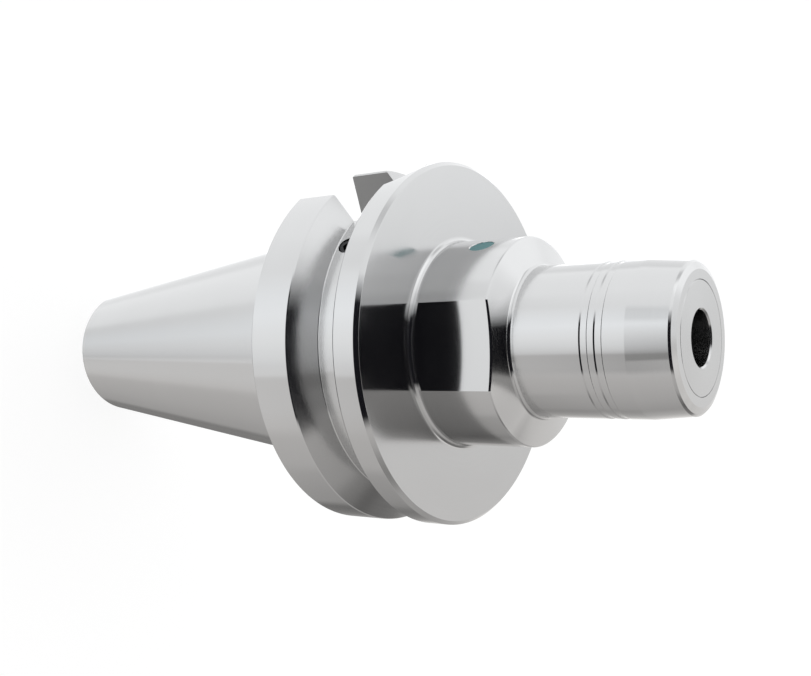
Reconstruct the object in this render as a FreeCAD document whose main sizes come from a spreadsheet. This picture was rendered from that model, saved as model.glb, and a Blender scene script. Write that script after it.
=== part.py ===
import FreeCAD, Part
import math
import os
import Sketcher
from FreeCAD import Vector

# Sizes in mm and degrees: plain numbers drive the model, and formulas follow from them.
# Heights run along the axis, from the small end of the taper toward the nose.
SIZES = {
    "over_cut": 1.0,
    "running_gap": 0.05,
    "braze_gap": 0.02,

    # Steep taper, size 50
    "taper_length": 101.8,
    "gauge_radius": 34.925,
    "taper_slope": "=7 / 48",
    "taper_end_break": 1.0,
    "taper_end_radius": "=gauge_radius - taper_length * taper_slope",
    "taper_end_face_radius": "=taper_end_radius - taper_end_break",
    "taper_break_radius": "=taper_end_radius + taper_end_break * taper_slope",
    "gauge_land": 0.8,
    "neck_relief": 0.525,
    "neck_radius": "=gauge_radius - neck_relief",
    "neck_start": "=taper_length + gauge_land",
    "neck_shoulder": "=neck_start + neck_relief",

    # Flange with its gripper groove
    "flange_radius": 50.0,
    "flange_gap": 3.0,
    "flange_width": 35.0,
    "back_rim_break": 1.2,
    "front_rim_break": 1.0,
    "flange_back": "=taper_length + flange_gap",
    "flange_front": "=flange_back + flange_width",
    "back_rim_radius": "=flange_radius - back_rim_break",
    "back_rim_height": "=flange_back + back_rim_break",
    "front_rim_radius": "=flange_radius - front_rim_break",
    "front_rim_height": "=flange_front - front_rim_break",
    "groove_mouth": 15.0,
    "groove_depth": 7.5,
    "groove_inset": 20.2,
    "groove_centre": "=flange_back + groove_inset",
    "groove_floor_radius": "=flange_radius - groove_depth",
    "groove_flank": "=groove_depth * tan(30deg)",
    "groove_back": "=groove_centre - groove_mouth / 2",
    "groove_front": "=groove_centre + groove_mouth / 2",
    "groove_floor_back": "=groove_back + groove_flank",
    "groove_floor_front": "=groove_front - groove_flank",

    # Drive slots
    "slot_width": 25.7,
    "slot_floor_step": 0.9,
    "slot_web": 2.0,
    "slot_half": "=slot_width / 2",
    "slot_floor": "=neck_radius + slot_floor_step",
    "slot_end": "=flange_front - slot_web",
    "slot_arc_centre": "=slot_end - slot_half",
    "slot_cut_back": "=flange_back - over_cut",

    # Hub with its milled flat
    "hub_radius": 28.0,
    "hub_length": 22.2,
    "hub_cone_rise": 2.6,
    "hub_root_fillet": 1.6,
    "hub_break": 0.3,
    "hub_edge": "=flange_front + hub_length",
    "hub_break_radius": "=hub_radius - hub_break",
    "hub_break_height": "=hub_edge - hub_break",
    "hub_face_height": "=hub_edge + hub_cone_rise",
    "flat_depth": 2.4,
    "flat_step": 1.8,
    "flat_angle": -19.4,
    "flat_distance": "=hub_radius - flat_depth",
    "flat_start": "=flange_front + flat_step",
    "flat_height": "=hub_face_height + over_cut - flat_start",
    "flat_cutter": "=hub_radius / 2",

    # Nose
    "projection": 105.0,
    "nose_radius": 20.0,
    "nose_root_fillet": 1.3,
    "nose_break": 0.55,
    "nose_bevel_width": 1.7,
    "nose_bevel_drop": 0.7,
    "nose_taper_length": 11.5,
    "nose_taper_drop": 0.95,
    "nose_front": "=taper_length + projection",
    "nose_taper_start": "=nose_front - nose_taper_length",
    "nose_tip_radius": "=nose_radius - nose_taper_drop",
    "nose_bevel_radius": "=nose_tip_radius - nose_break",
    "nose_face_radius": "=nose_bevel_radius - nose_bevel_width",
    "nose_bevel_height": "=nose_front - nose_bevel_drop",
    "nose_break_height": "=nose_bevel_height - nose_break",
    "ring_width": 2.2,
    "ring_depth": 0.3,
    "ring_gap": 1.6,
    "ring_inset": 5.7,
    "ring_floor_radius": "=nose_radius - ring_depth",
    "ring_two_front": "=nose_taper_start - ring_inset",
    "ring_two_back": "=ring_two_front - ring_width",
    "ring_one_front": "=ring_two_back - ring_gap",
    "ring_one_back": "=ring_one_front - ring_width",
    "ring_one_floor_back": "=ring_one_back + ring_depth",
    "ring_one_floor_front": "=ring_one_front - ring_depth",
    "ring_two_floor_back": "=ring_two_back + ring_depth",
    "ring_two_floor_front": "=ring_two_front - ring_depth",

    # Expansion sleeve round the tool bore
    "tool_radius": 7.0,
    "sleeve_thickness": 2.98,
    "sleeve_wall": 1.7,
    "sleeve_radius": "=tool_radius + sleeve_thickness",
    "sleeve_bore_radius": "=sleeve_radius + braze_gap",
    "chamber_radius": "=tool_radius + sleeve_wall",
    "collar_step": 4.4,
    "collar_length": 4.0,
    "collar_radius": "=sleeve_bore_radius + collar_step",
    "collar_back": "=nose_front - collar_length",
    "sleeve_collar_radius": "=collar_radius - braze_gap",
    "joint_break": 0.2,
    "collar_break_radius": "=sleeve_collar_radius - joint_break",
    "collar_break_height": "=nose_front - joint_break",
    "tool_mouth_break": 0.4,
    "tool_mouth_radius": "=tool_radius + tool_mouth_break",
    "tool_mouth_height": "=nose_front - tool_mouth_break",

    # Pressure cylinder, bored across the hub beside the sleeve, and the sleeve's feed ring
    "press_drop": 9.7,
    "press_wall": 2.45,
    "press_angle": 163.8,
    "press_screw_radius": 5.0,
    "press_thread_radius": "=press_screw_radius + running_gap",
    "press_height": "=hub_edge - press_drop",
    "press_offset": "=sleeve_bore_radius + press_wall + press_thread_radius",
    "press_turn": "=press_angle + 90",
    "press_near_x": "=press_offset * cos(press_angle * 1deg)",
    "press_near_y": "=press_offset * sin(press_angle * 1deg)",
    "press_along_x": "=cos(press_turn * 1deg)",
    "press_along_y": "=sin(press_turn * 1deg)",
    "feed_half": 2.0,
    "sleeve_lead": 6.0,
    "feed_back": "=press_height - feed_half",
    "feed_front": "=press_height + feed_half",
    "sleeve_back": "=press_height - sleeve_lead",

    # Length stop screw, drawn at its deepest setting
    "stop_bore_step": 0.2,
    "stop_head_gap": 0.4,
    "stop_shoulder": 1.4,
    "stop_head_lift": 0.3,
    "stop_head_length": 12.2,
    "stop_thread_length": 17.8,
    "stop_hole_spare": 0.5,
    "stop_bore_wall": "=tool_radius - stop_bore_step",
    "stop_head_radius": "=stop_bore_wall - stop_head_gap",
    "stop_thread_radius": "=stop_head_radius - stop_shoulder",
    "stop_hole_radius": "=stop_thread_radius + running_gap",
    "stop_head_back": "=sleeve_back + stop_head_lift",
    "stop_top": "=stop_head_back + stop_head_length",
    "stop_bottom": "=stop_head_back - stop_thread_length",
    "stop_hole_back": "=stop_bottom - stop_hole_spare",
    "stop_edge_break": 0.5,
    "stop_top_edge": "=stop_top - stop_edge_break",
    "stop_head_edge_radius": "=stop_head_radius - stop_edge_break",
    "stop_bottom_edge": "=stop_bottom + stop_edge_break",
    "stop_bottom_radius": "=stop_thread_radius - stop_edge_break",
    "stop_hex": 5.0,
    "stop_hex_depth": 6.0,
    "stop_bore_radius": 1.75,
    "stop_bore_start": "=stop_bottom - over_cut",
    "stop_bore_length": "=stop_top - stop_bottom + 2 * over_cut",
    "stop_seal_depth": 1.4,
    "stop_seal_width": 1.9,
    "stop_seal_lift": 0.7,
    "stop_seal_floor": "=stop_head_radius - stop_seal_depth",
    "stop_seal_back": "=stop_head_back + stop_seal_lift",
    "stop_seal_front": "=stop_seal_back + stop_seal_width",
    "stop_ring_middle": "=(stop_seal_back + stop_seal_front) / 2",
    "stop_ring_outer": "=stop_bore_wall - running_gap",
    "stop_ring_inner": "=stop_seal_floor + braze_gap",
    "stop_ring_half": "=(stop_ring_outer - stop_ring_inner) / 2",
    "stop_ring_centre": "=stop_ring_inner + stop_ring_half",

    # Oil chambers, which share the clamping length, and dirt grooves in the tool bore
    "chamber_inset_back": 3.0,
    "chamber_inset_front": 9.0,
    "chamber_gap": 6.0,
    "rear_chamber_back": "=stop_top + chamber_inset_back",
    "front_chamber_front": "=nose_front - chamber_inset_front",
    "chamber_length": "=(front_chamber_front - rear_chamber_back - chamber_gap) / 2",
    "rear_chamber_front": "=rear_chamber_back + chamber_length",
    "front_chamber_back": "=front_chamber_front - chamber_length",
    "link_width": 2.0,
    "link_half": "=link_width / 2",
    "link_start": "=feed_front - over_cut",
    "link_length": "=front_chamber_back - feed_front + 2 * over_cut",
    "dirt_depth": 0.35,
    "dirt_width": 1.2,
    "dirt_inset": 7.0,
    "dirt_radius": "=tool_radius + dirt_depth",
    "dirt_one_back": "=rear_chamber_back + dirt_inset",
    "dirt_one_front": "=dirt_one_back + dirt_width",
    "dirt_two_back": "=front_chamber_back + dirt_inset",
    "dirt_two_front": "=dirt_two_back + dirt_width",

    # Pull stud hole and coolant channel
    "pilot_radius": 12.5,
    "pilot_depth": 11.5,
    "stud_hole_radius": 10.38,
    "stud_hole_depth": 62.0,
    "stud_hole_break": 1.0,
    "pilot_mouth_radius": "=pilot_radius + stud_hole_break",
    "channel_radius": 4.0,
    "drill_tip": "=stud_hole_depth + (stud_hole_radius - channel_radius) * tan(31deg)",

    # Piston and its seal, at the unclamped end of the travel
    "piston_travel": 3.5,
    "piston_front": -3.0,
    "piston_gap": 0.03,
    "piston_bore_radius": 4.0,
    "piston_length": 8.0,
    "piston_groove_start": 1.3,
    "piston_groove_width": 3.2,
    "piston_groove_depth": 1.07,
    "piston_edge": 0.3,
    "piston_radius": "=piston_bore_radius - piston_gap",
    "piston_seal_floor": "=piston_radius - piston_groove_depth",
    "piston_groove_end": "=piston_groove_start + piston_groove_width",
    "piston_edge_radius": "=piston_radius - piston_edge",
    "piston_edge_end": "=piston_length - piston_edge",
    "seal_length": 2.2,
    "seal_radius": "=piston_bore_radius - running_gap",
    "seal_inner_radius": "=piston_seal_floor + braze_gap",
    "seal_end": "=piston_groove_start + seal_length",

    # Pressure screw behind the piston, and the bores that hold them
    "oil_space": 4.5,
    "press_thread_spare": 0.5,
    "press_screw_sink": 0.9,
    "press_mouth_step": 0.55,
    "press_screw_length": 10.0,
    "press_screw_edge": 0.5,
    "press_screw_tip_radius": 3.4,
    "press_screw_tip": 0.6,
    "press_hex": 5.0,
    "press_hex_depth": 5.5,
    "press_screw_back": "=piston_front + piston_length",
    "press_screw_edge_radius": "=press_screw_radius - press_screw_edge",
    "press_screw_rise": "=press_screw_tip + press_screw_edge",
    "press_screw_top_edge": "=press_screw_length - press_screw_edge",
    "press_blind": "=piston_front - piston_travel - oil_space",
    "press_shoulder": "=press_screw_back - piston_travel - press_thread_spare",
    "press_seat": "=press_screw_back + press_screw_length + press_screw_sink",
    "press_mouth_radius": "=press_thread_radius + press_mouth_step",
    "piston_bore_length": "=press_shoulder - press_blind + over_cut",
    "press_thread_length": "=press_seat - press_shoulder + over_cut",
    "press_mouth_length": "=hub_radius - press_seat",

    # Oil duct from the blind end of the cylinder to the sleeve, with its expander plug
    "duct_swing": 25.0,
    "duct_radius": 1.5,
    "plug_radius": 2.5,
    "plug_depth": 4.2,
    "plug_length": 3.2,
    "plug_floor": 0.6,
    "plug_ball_radius": 1.6,
    "plug_rim_break": 0.2,
    "duct_angle": "=press_angle - duct_swing",
    "duct_start": "=sleeve_bore_radius - over_cut",
    "plug_seat": "=hub_radius - plug_depth",
    "duct_length": "=plug_seat - duct_start + over_cut",
    "plug_hole_radius": "=plug_radius + braze_gap",
    "plug_hole_length": "=plug_depth + over_cut",
    "plug_cup_radius": "=plug_ball_radius + braze_gap",
    "plug_ball_height": "=plug_floor + plug_ball_radius",
    "plug_edge_radius": "=plug_radius - plug_rim_break",
    "plug_edge_height": "=plug_length - plug_rim_break",

    # Bleed bore with its ball, screw and coloured cap
    "bleed_angle": -86.8,
    "bleed_depth": 11.0,
    "bleed_duct_radius": 1.25,
    "bleed_ball_radius": 2.0,
    "bleed_ball_gap": 0.06,
    "bleed_screw_radius": 3.0,
    "bleed_screw_length": 5.0,
    "bleed_screw_hex": 3.0,
    "bleed_screw_hex_depth": 2.6,
    "bleed_thread_run": 0.8,
    "cap_radius": 3.3,
    "cap_sink": 0.3,
    "bleed_seat": "=hub_radius - bleed_depth",
    "bleed_duct_length": "=bleed_seat - duct_start + over_cut",
    "bleed_ball_hole_radius": "=bleed_ball_radius + bleed_ball_gap",
    "bleed_ball_centre": "=bleed_seat + sqrt(bleed_ball_radius ^ 2 - bleed_duct_radius ^ 2)",
    "bleed_screw_start": "=bleed_ball_centre + bleed_ball_radius",
    "bleed_hole_radius": "=bleed_screw_radius + running_gap",
    "bleed_thread_start": "=bleed_screw_start - bleed_thread_run",
    "bleed_ball_hole_length": "=bleed_thread_start - bleed_seat + over_cut",
    "cap_seat": "=bleed_screw_start + bleed_screw_length",
    "bleed_thread_length": "=cap_seat - bleed_thread_start + over_cut",
    "cap_hole_radius": "=cap_radius + braze_gap",
    "cap_length": "=hub_radius - cap_sink - cap_seat",
    "cap_hole_length": "=cap_length + cap_radius",

    # Coolant ducts, slanting from the gripper groove to the channel, and inlets in the flange back
    "coolant_angle": -58.9,
    "coolant_tilt": 20.0,
    "coolant_radius": 2.2,
    "coolant_screw_radius": 2.5,
    "coolant_screw_length": 4.0,
    "coolant_screw_hex": 2.5,
    "coolant_screw_hex_depth": 2.2,
    "coolant_seat": 4.8,
    "inlet_duct_radius": 2.0,
    "inlet_inset": 3.1,
    "inlet_depth": 5.0,
    "coolant_hole_radius": "=coolant_screw_radius + running_gap",
    "coolant_screw_hole": "=coolant_seat + coolant_hole_radius",
    "coolant_seat_radius": "=groove_floor_radius - coolant_seat * cos(coolant_tilt * 1deg)",
    "coolant_seat_height": "=groove_centre - coolant_seat * sin(coolant_tilt * 1deg)",
    "coolant_seat_x": "=coolant_seat_radius * cos(coolant_angle * 1deg)",
    "coolant_seat_y": "=coolant_seat_radius * sin(coolant_angle * 1deg)",
    "coolant_back_x": "=-1 * coolant_seat_x",
    "coolant_back_y": "=-1 * coolant_seat_y",
    "coolant_back_angle": "=coolant_angle + 180",
    "coolant_run": "=(coolant_seat_radius - channel_radius / 2) / cos(coolant_tilt * 1deg)",
    "coolant_pitch": "=90 + coolant_tilt",
    "coolant_out_pitch": "=90 - coolant_tilt",
    "inlet_radius_out": "=neck_radius + inlet_inset",
    "inlet_x": "=inlet_radius_out * cos(coolant_angle * 1deg)",
    "inlet_y": "=inlet_radius_out * sin(coolant_angle * 1deg)",
    "inlet_back_x": "=-1 * inlet_x",
    "inlet_back_y": "=-1 * inlet_y",
    "inlet_seat": "=flange_back + inlet_depth",
    "inlet_mouth": "=flange_back - over_cut",
    "inlet_hole_length": "=inlet_seat - inlet_mouth",
    "inlet_duct_length": "=coolant_seat_height - inlet_seat",

    # Broken edges of the small closing screws
    "screw_edge": 0.4,
    "bleed_screw_tip": "=bleed_screw_radius - screw_edge",
    "bleed_screw_shoulder": "=bleed_screw_length - screw_edge",
    "coolant_screw_tip": "=coolant_screw_radius - screw_edge",
    "coolant_screw_shoulder": "=coolant_screw_length - screw_edge",
}

os.makedirs("parts", exist_ok=True)
doc = FreeCAD.newDocument("HydraulicChuck")
sheet = doc.addObject("Spreadsheet::Sheet", "Sizes")
for row, (alias, content) in enumerate(SIZES.items(), start=1):
    sheet.set("A%d" % row, alias)
    sheet.set("B%d" % row, str(content))
    sheet.setAlias("B%d" % row, alias)
doc.recompute()


def value(alias):
    """Reads a named size back from the sheet as a plain number."""
    return float(sheet.get(alias))


def new_body(name):
    body = doc.addObject("PartDesign::Body", name)
    body.Label = name
    return body


def plane(body, role):
    for feature in body.Origin.OriginFeatures:
        if feature.Role == role:
            return feature
    raise RuntimeError("no plane " + role)


def sketch_on(body, name, role):
    sketch = body.newObject("Sketcher::SketchObject", name)
    sketch.AttachmentSupport = [(plane(body, role), "")]
    sketch.MapMode = "FlatFace"
    return sketch


def outline(sketch, points):
    """Draws a closed loop of lines whose corners are pairs of named sizes, None for the axis."""
    corners = []
    for across, along in points:
        x = 0.0 if across is None else value(across)
        y = 0.0 if along is None else value(along)
        corners.append(Vector(x, y, 0))
    count = len(corners)
    first = sketch.GeometryCount
    for index in range(count):
        following = corners[(index + 1) % count]
        sketch.addGeometry(Part.LineSegment(corners[index], following), False)
    for index in range(count):
        here = first + index
        after = first + (index + 1) % count
        sketch.addConstraint(Sketcher.Constraint("Coincident", here, 2, after, 1))
    for index, (across, along) in enumerate(points):
        here = first + index
        if across is None:
            sketch.addConstraint(Sketcher.Constraint("PointOnObject", here, 1, -2))
        else:
            rule = Sketcher.Constraint("DistanceX", -1, 1, here, 1, corners[index].x)
            number = sketch.addConstraint(rule)
            sketch.setExpression("Constraints[%d]" % number, "Sizes." + across)
        if along is None:
            sketch.addConstraint(Sketcher.Constraint("PointOnObject", here, 1, -1))
        else:
            rule = Sketcher.Constraint("DistanceY", -1, 1, here, 1, corners[index].y)
            number = sketch.addConstraint(rule)
            sketch.setExpression("Constraints[%d]" % number, "Sizes." + along)


def turned(body, name, points, cut=False):
    """Turns a half section, drawn as radius and height, about the Z axis."""
    sketch = sketch_on(body, name + "_section", "XZ_Plane")
    outline(sketch, points)
    kind = "PartDesign::Groove" if cut else "PartDesign::Revolution"
    feature = body.newObject(kind, name)
    feature.Profile = sketch
    feature.ReferenceAxis = (sketch, ["V_Axis"])
    feature.Angle = 360.0
    sketch.Visibility = False
    doc.recompute()
    return feature


def drilled(body, name, radius, height, spot, turn="0", pitch="0"):
    """Cuts a round hole that starts at a spot and runs along its own turned Z axis."""
    hole = body.newObject("PartDesign::SubtractiveCylinder", name)
    hole.AttachmentSupport = [(plane(body, "XY_Plane"), "")]
    hole.MapMode = "FlatFace"
    hole.setExpression("Radius", "Sizes." + radius)
    hole.setExpression("Height", "Sizes." + height)
    rule = "placement(vector(%s); rotation(%s; %s; 0))" % (spot, turn, pitch)
    hole.setExpression("AttachmentOffset", rule)
    before = body.Shape.Volume
    doc.recompute()
    if body.Shape.Volume > before - 0.5:
        raise RuntimeError("nothing was cut by " + name)
    return hole


def hexagon(body, name, flats, depth, top):
    """Cuts a hexagon socket downward from a height on the body's own axis."""
    sketch = sketch_on(body, name + "_outline", "XY_Plane")
    sketch.setExpression("AttachmentOffset.Base.z", top)
    reach = value(flats) / math.sqrt(3)
    corners = []
    for index in range(6):
        angle = math.radians(60 * index)
        corners.append(Vector(reach * math.cos(angle), reach * math.sin(angle), 0))
    for index in range(6):
        sketch.addGeometry(Part.LineSegment(corners[index], corners[(index + 1) % 6]), False)
    circle = sketch.addGeometry(Part.Circle(Vector(0, 0, 0), Vector(0, 0, 1), reach), True)
    sketch.addConstraint(Sketcher.Constraint("Coincident", circle, 3, -1, 1))
    for index in range(6):
        sketch.addConstraint(Sketcher.Constraint("Coincident", index, 2, (index + 1) % 6, 1))
        sketch.addConstraint(Sketcher.Constraint("PointOnObject", index, 1, circle))
    for index in range(5):
        sketch.addConstraint(Sketcher.Constraint("Equal", index, index + 1))
    sketch.addConstraint(Sketcher.Constraint("PointOnObject", 0, 1, -1))
    number = sketch.addConstraint(Sketcher.Constraint("Radius", circle, reach))
    sketch.setExpression("Constraints[%d]" % number, "Sizes." + flats + " / sqrt(3)")
    pocket = body.newObject("PartDesign::Pocket", name)
    pocket.Profile = sketch
    pocket.setExpression("Length", "Sizes." + depth)
    before = body.Shape.Volume
    doc.recompute()
    if body.Shape.Volume > before - 0.5:
        raise RuntimeError("nothing was cut by " + name)
    sketch.Visibility = False
    return pocket


def ring_edges(shape, radius, height):
    """Names the whole circles of a radius at a height."""
    names = []
    for index, edge in enumerate(shape.Edges):
        curve = edge.Curve
        if not isinstance(curve, Part.Circle):
            continue
        if abs(curve.Radius - radius) > 0.01:
            continue
        if abs(curve.Center.z - height) > 0.01:
            continue
        names.append("Edge%d" % (index + 1))
    return names


def place(body, spot, turn="0", pitch="0"):
    rule = "placement(vector(%s); rotation(%s; %s; 0))" % (spot, turn, pitch)
    body.setExpression("Placement", rule)
    doc.recompute()


def spot_out(angle, radius, height):
    """A point at an angle about the axis, a distance out and a height."""
    parts = (radius, angle, radius, angle, height)
    return "%s * cos(%s * 1deg); %s * sin(%s * 1deg); %s" % parts


def spot_press(along):
    """A point on the axis of the pressure cylinder."""
    x = "Sizes.press_near_x + %s * Sizes.press_along_x" % along
    y = "Sizes.press_near_y + %s * Sizes.press_along_y" % along
    return x + "; " + y + "; Sizes.press_height"


# Chuck body
body = new_body("chuck_body")
turned(body, "turned_form", [
    (None, None),
    ("taper_end_face_radius", None),
    ("taper_break_radius", "taper_end_break"),
    ("gauge_radius", "taper_length"),
    ("gauge_radius", "neck_start"),
    ("neck_radius", "neck_shoulder"),
    ("neck_radius", "flange_back"),
    ("back_rim_radius", "flange_back"),
    ("flange_radius", "back_rim_height"),
    ("flange_radius", "groove_back"),
    ("groove_floor_radius", "groove_floor_back"),
    ("groove_floor_radius", "groove_floor_front"),
    ("flange_radius", "groove_front"),
    ("flange_radius", "front_rim_height"),
    ("front_rim_radius", "flange_front"),
    ("hub_radius", "flange_front"),
    ("hub_radius", "hub_break_height"),
    ("hub_break_radius", "hub_edge"),
    ("nose_radius", "hub_face_height"),
    ("nose_radius", "ring_one_back"),
    ("ring_floor_radius", "ring_one_floor_back"),
    ("ring_floor_radius", "ring_one_floor_front"),
    ("nose_radius", "ring_one_front"),
    ("nose_radius", "ring_two_back"),
    ("ring_floor_radius", "ring_two_floor_back"),
    ("ring_floor_radius", "ring_two_floor_front"),
    ("nose_radius", "ring_two_front"),
    ("nose_radius", "nose_taper_start"),
    ("nose_tip_radius", "nose_break_height"),
    ("nose_bevel_radius", "nose_bevel_height"),
    ("nose_face_radius", "nose_front"),
    (None, "nose_front"),
])

# Root fillets of hub and nose
fillet = body.newObject("PartDesign::Fillet", "hub_root")
form = doc.getObject("turned_form")
fillet.Base = (form, ring_edges(form.Shape, value("hub_radius"), value("flange_front")))
fillet.setExpression("Radius", "Sizes.hub_root_fillet")
doc.recompute()
root = body.newObject("PartDesign::Fillet", "nose_root")
root.Base = (fillet, ring_edges(fillet.Shape, value("nose_radius"), value("hub_face_height")))
root.setExpression("Radius", "Sizes.nose_root_fillet")
doc.recompute()

# Drive slots with a round end, cut by an end mill
slot = sketch_on(body, "drive_slot_outline", "XZ_Plane")
half = value("slot_half")
low = value("slot_cut_back")
middle = value("slot_arc_centre")
slot.addGeometry(Part.LineSegment(Vector(-half, middle, 0), Vector(-half, low, 0)), False)
slot.addGeometry(Part.LineSegment(Vector(-half, low, 0), Vector(half, low, 0)), False)
slot.addGeometry(Part.LineSegment(Vector(half, low, 0), Vector(half, middle, 0)), False)
arc = Part.Circle(Vector(0, middle, 0), Vector(0, 0, 1), half)
slot.addGeometry(Part.ArcOfCircle(arc, 0.0, math.pi), False)
slot.addConstraint(Sketcher.Constraint("Coincident", 0, 2, 1, 1))
slot.addConstraint(Sketcher.Constraint("Coincident", 1, 2, 2, 1))
slot.addConstraint(Sketcher.Constraint("Tangent", 2, 2, 3, 1))
slot.addConstraint(Sketcher.Constraint("Tangent", 3, 2, 0, 1))
slot.addConstraint(Sketcher.Constraint("Horizontal", 1))
slot.addConstraint(Sketcher.Constraint("Vertical", 0))
slot.addConstraint(Sketcher.Constraint("PointOnObject", 3, 3, -2))
number = slot.addConstraint(Sketcher.Constraint("DistanceY", -1, 1, 3, 3, middle))
slot.setExpression("Constraints[%d]" % number, "Sizes.slot_arc_centre")
number = slot.addConstraint(Sketcher.Constraint("DistanceY", -1, 1, 1, 1, low))
slot.setExpression("Constraints[%d]" % number, "Sizes.slot_cut_back")
number = slot.addConstraint(Sketcher.Constraint("Radius", 3, half))
slot.setExpression("Constraints[%d]" % number, "Sizes.slot_half")
slot.setExpression("AttachmentOffset.Base.z", "Sizes.slot_floor")
cut = body.newObject("PartDesign::Pocket", "drive_slot")
cut.Profile = slot
cut.setExpression("Length", "Sizes.flange_radius")
cut.Reversed = True
before = body.Shape.Volume
doc.recompute()
if body.Shape.Volume > before - 500:
    raise RuntimeError("the drive slot cuts nothing")
pair = body.newObject("PartDesign::PolarPattern", "drive_slots")
pair.Originals = [cut]
axis = [item for item in body.Origin.OriginFeatures if item.Role == "Z_Axis"][0]
pair.Axis = (axis, [""])
pair.Angle = 360.0
pair.Occurrences = 2
body.Tip = pair
doc.recompute()

# Milled flat on the hub
flat = sketch_on(body, "hub_flat_outline", "XY_Plane")
near = value("flat_distance")
wide = value("flat_cutter")
far = near + wide
box = [Vector(near, -wide, 0), Vector(far, -wide, 0), Vector(far, wide, 0), Vector(near, wide, 0)]
for index in range(4):
    flat.addGeometry(Part.LineSegment(box[index], box[(index + 1) % 4]), False)
for index in range(4):
    flat.addConstraint(Sketcher.Constraint("Coincident", index, 2, (index + 1) % 4, 1))
flat.addConstraint(Sketcher.Constraint("Horizontal", 0))
flat.addConstraint(Sketcher.Constraint("Vertical", 1))
flat.addConstraint(Sketcher.Constraint("Horizontal", 2))
flat.addConstraint(Sketcher.Constraint("Symmetric", 0, 1, 3, 1, -1))
number = flat.addConstraint(Sketcher.Constraint("DistanceX", -1, 1, 0, 1, near))
flat.setExpression("Constraints[%d]" % number, "Sizes.flat_distance")
number = flat.addConstraint(Sketcher.Constraint("DistanceX", 0, 1, 0, 2, far - near))
flat.setExpression("Constraints[%d]" % number, "Sizes.flat_cutter")
number = flat.addConstraint(Sketcher.Constraint("DistanceY", 1, 1, 1, 2, 2 * wide))
flat.setExpression("Constraints[%d]" % number, "Sizes.flat_cutter * 2")
rule = "placement(vector(0; 0; Sizes.flat_start); rotation(Sizes.flat_angle; 0; 0))"
flat.setExpression("AttachmentOffset", rule)
mill = body.newObject("PartDesign::Pocket", "hub_flat")
mill.Profile = flat
mill.setExpression("Length", "Sizes.flat_height")
mill.Reversed = True
before = body.Shape.Volume
doc.recompute()
if body.Shape.Volume > before - 100:
    raise RuntimeError("the hub flat cuts nothing")

# Pull stud hole, coolant channel and thread of the stop screw
turned(body, "rear_bore", [
    (None, None),
    ("pilot_mouth_radius", None),
    ("pilot_radius", "stud_hole_break"),
    ("pilot_radius", "pilot_depth"),
    ("stud_hole_radius", "pilot_depth"),
    ("stud_hole_radius", "stud_hole_depth"),
    ("channel_radius", "drill_tip"),
    ("channel_radius", "stop_hole_back"),
    ("stop_hole_radius", "stop_hole_back"),
    ("stop_hole_radius", "sleeve_back"),
    (None, "sleeve_back"),
], cut=True)

# Bore and counterbore for the expansion sleeve
turned(body, "sleeve_seat", [
    (None, "sleeve_back"),
    ("sleeve_bore_radius", "sleeve_back"),
    ("sleeve_bore_radius", "collar_back"),
    ("collar_radius", "collar_back"),
    ("collar_radius", "nose_front"),
    (None, "nose_front"),
], cut=True)

# Pressure cylinder across the hub
press = "Sizes.press_turn"
drilled(body, "piston_bore", "piston_bore_radius", "piston_bore_length",
        spot_press("Sizes.press_blind"), press, "90")
drilled(body, "pressure_thread", "press_thread_radius", "press_thread_length",
        spot_press("Sizes.press_shoulder"), press, "90")
drilled(body, "pressure_mouth", "press_mouth_radius", "press_mouth_length",
        spot_press("Sizes.press_seat"), press, "90")
duct = "Sizes.duct_angle"
drilled(body, "oil_duct", "duct_radius", "duct_length",
        spot_out(duct, "Sizes.duct_start", "Sizes.press_height"), duct, "90")
drilled(body, "duct_plug_hole", "plug_hole_radius", "plug_hole_length",
        spot_out(duct, "Sizes.plug_seat", "Sizes.press_height"), duct, "90")

# Bleed bore
bleed = "Sizes.bleed_angle"
high = "Sizes.press_height"
drilled(body, "bleed_duct", "bleed_duct_radius", "bleed_duct_length",
        spot_out(bleed, "Sizes.duct_start", high), bleed, "90")
drilled(body, "bleed_ball_hole", "bleed_ball_hole_radius", "bleed_ball_hole_length",
        spot_out(bleed, "Sizes.bleed_seat", high), bleed, "90")
drilled(body, "bleed_thread", "bleed_hole_radius", "bleed_thread_length",
        spot_out(bleed, "Sizes.bleed_thread_start", high), bleed, "90")
drilled(body, "bleed_cap_hole", "cap_hole_radius", "cap_hole_length",
        spot_out(bleed, "Sizes.cap_seat", high), bleed, "90")

# Coolant ducts and inlets, one pair on each side
sides = (
    ("a", "Sizes.coolant_seat_x; Sizes.coolant_seat_y", "Sizes.coolant_angle",
     "Sizes.inlet_x; Sizes.inlet_y"),
    ("b", "Sizes.coolant_back_x; Sizes.coolant_back_y", "Sizes.coolant_back_angle",
     "Sizes.inlet_back_x; Sizes.inlet_back_y"),
)
for letter, seat, angle, inlet in sides:
    spot = seat + "; Sizes.coolant_seat_height"
    drilled(body, "coolant_duct_" + letter, "coolant_radius", "coolant_run",
            spot, angle + " + 180", "Sizes.coolant_pitch")
    drilled(body, "coolant_thread_" + letter, "coolant_hole_radius", "coolant_screw_hole",
            spot, angle, "Sizes.coolant_out_pitch")
    drilled(body, "inlet_duct_" + letter, "inlet_duct_radius", "inlet_duct_length",
            inlet + "; Sizes.inlet_seat")
    drilled(body, "inlet_thread_" + letter, "coolant_hole_radius", "inlet_hole_length",
            inlet + "; Sizes.inlet_mouth")

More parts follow.
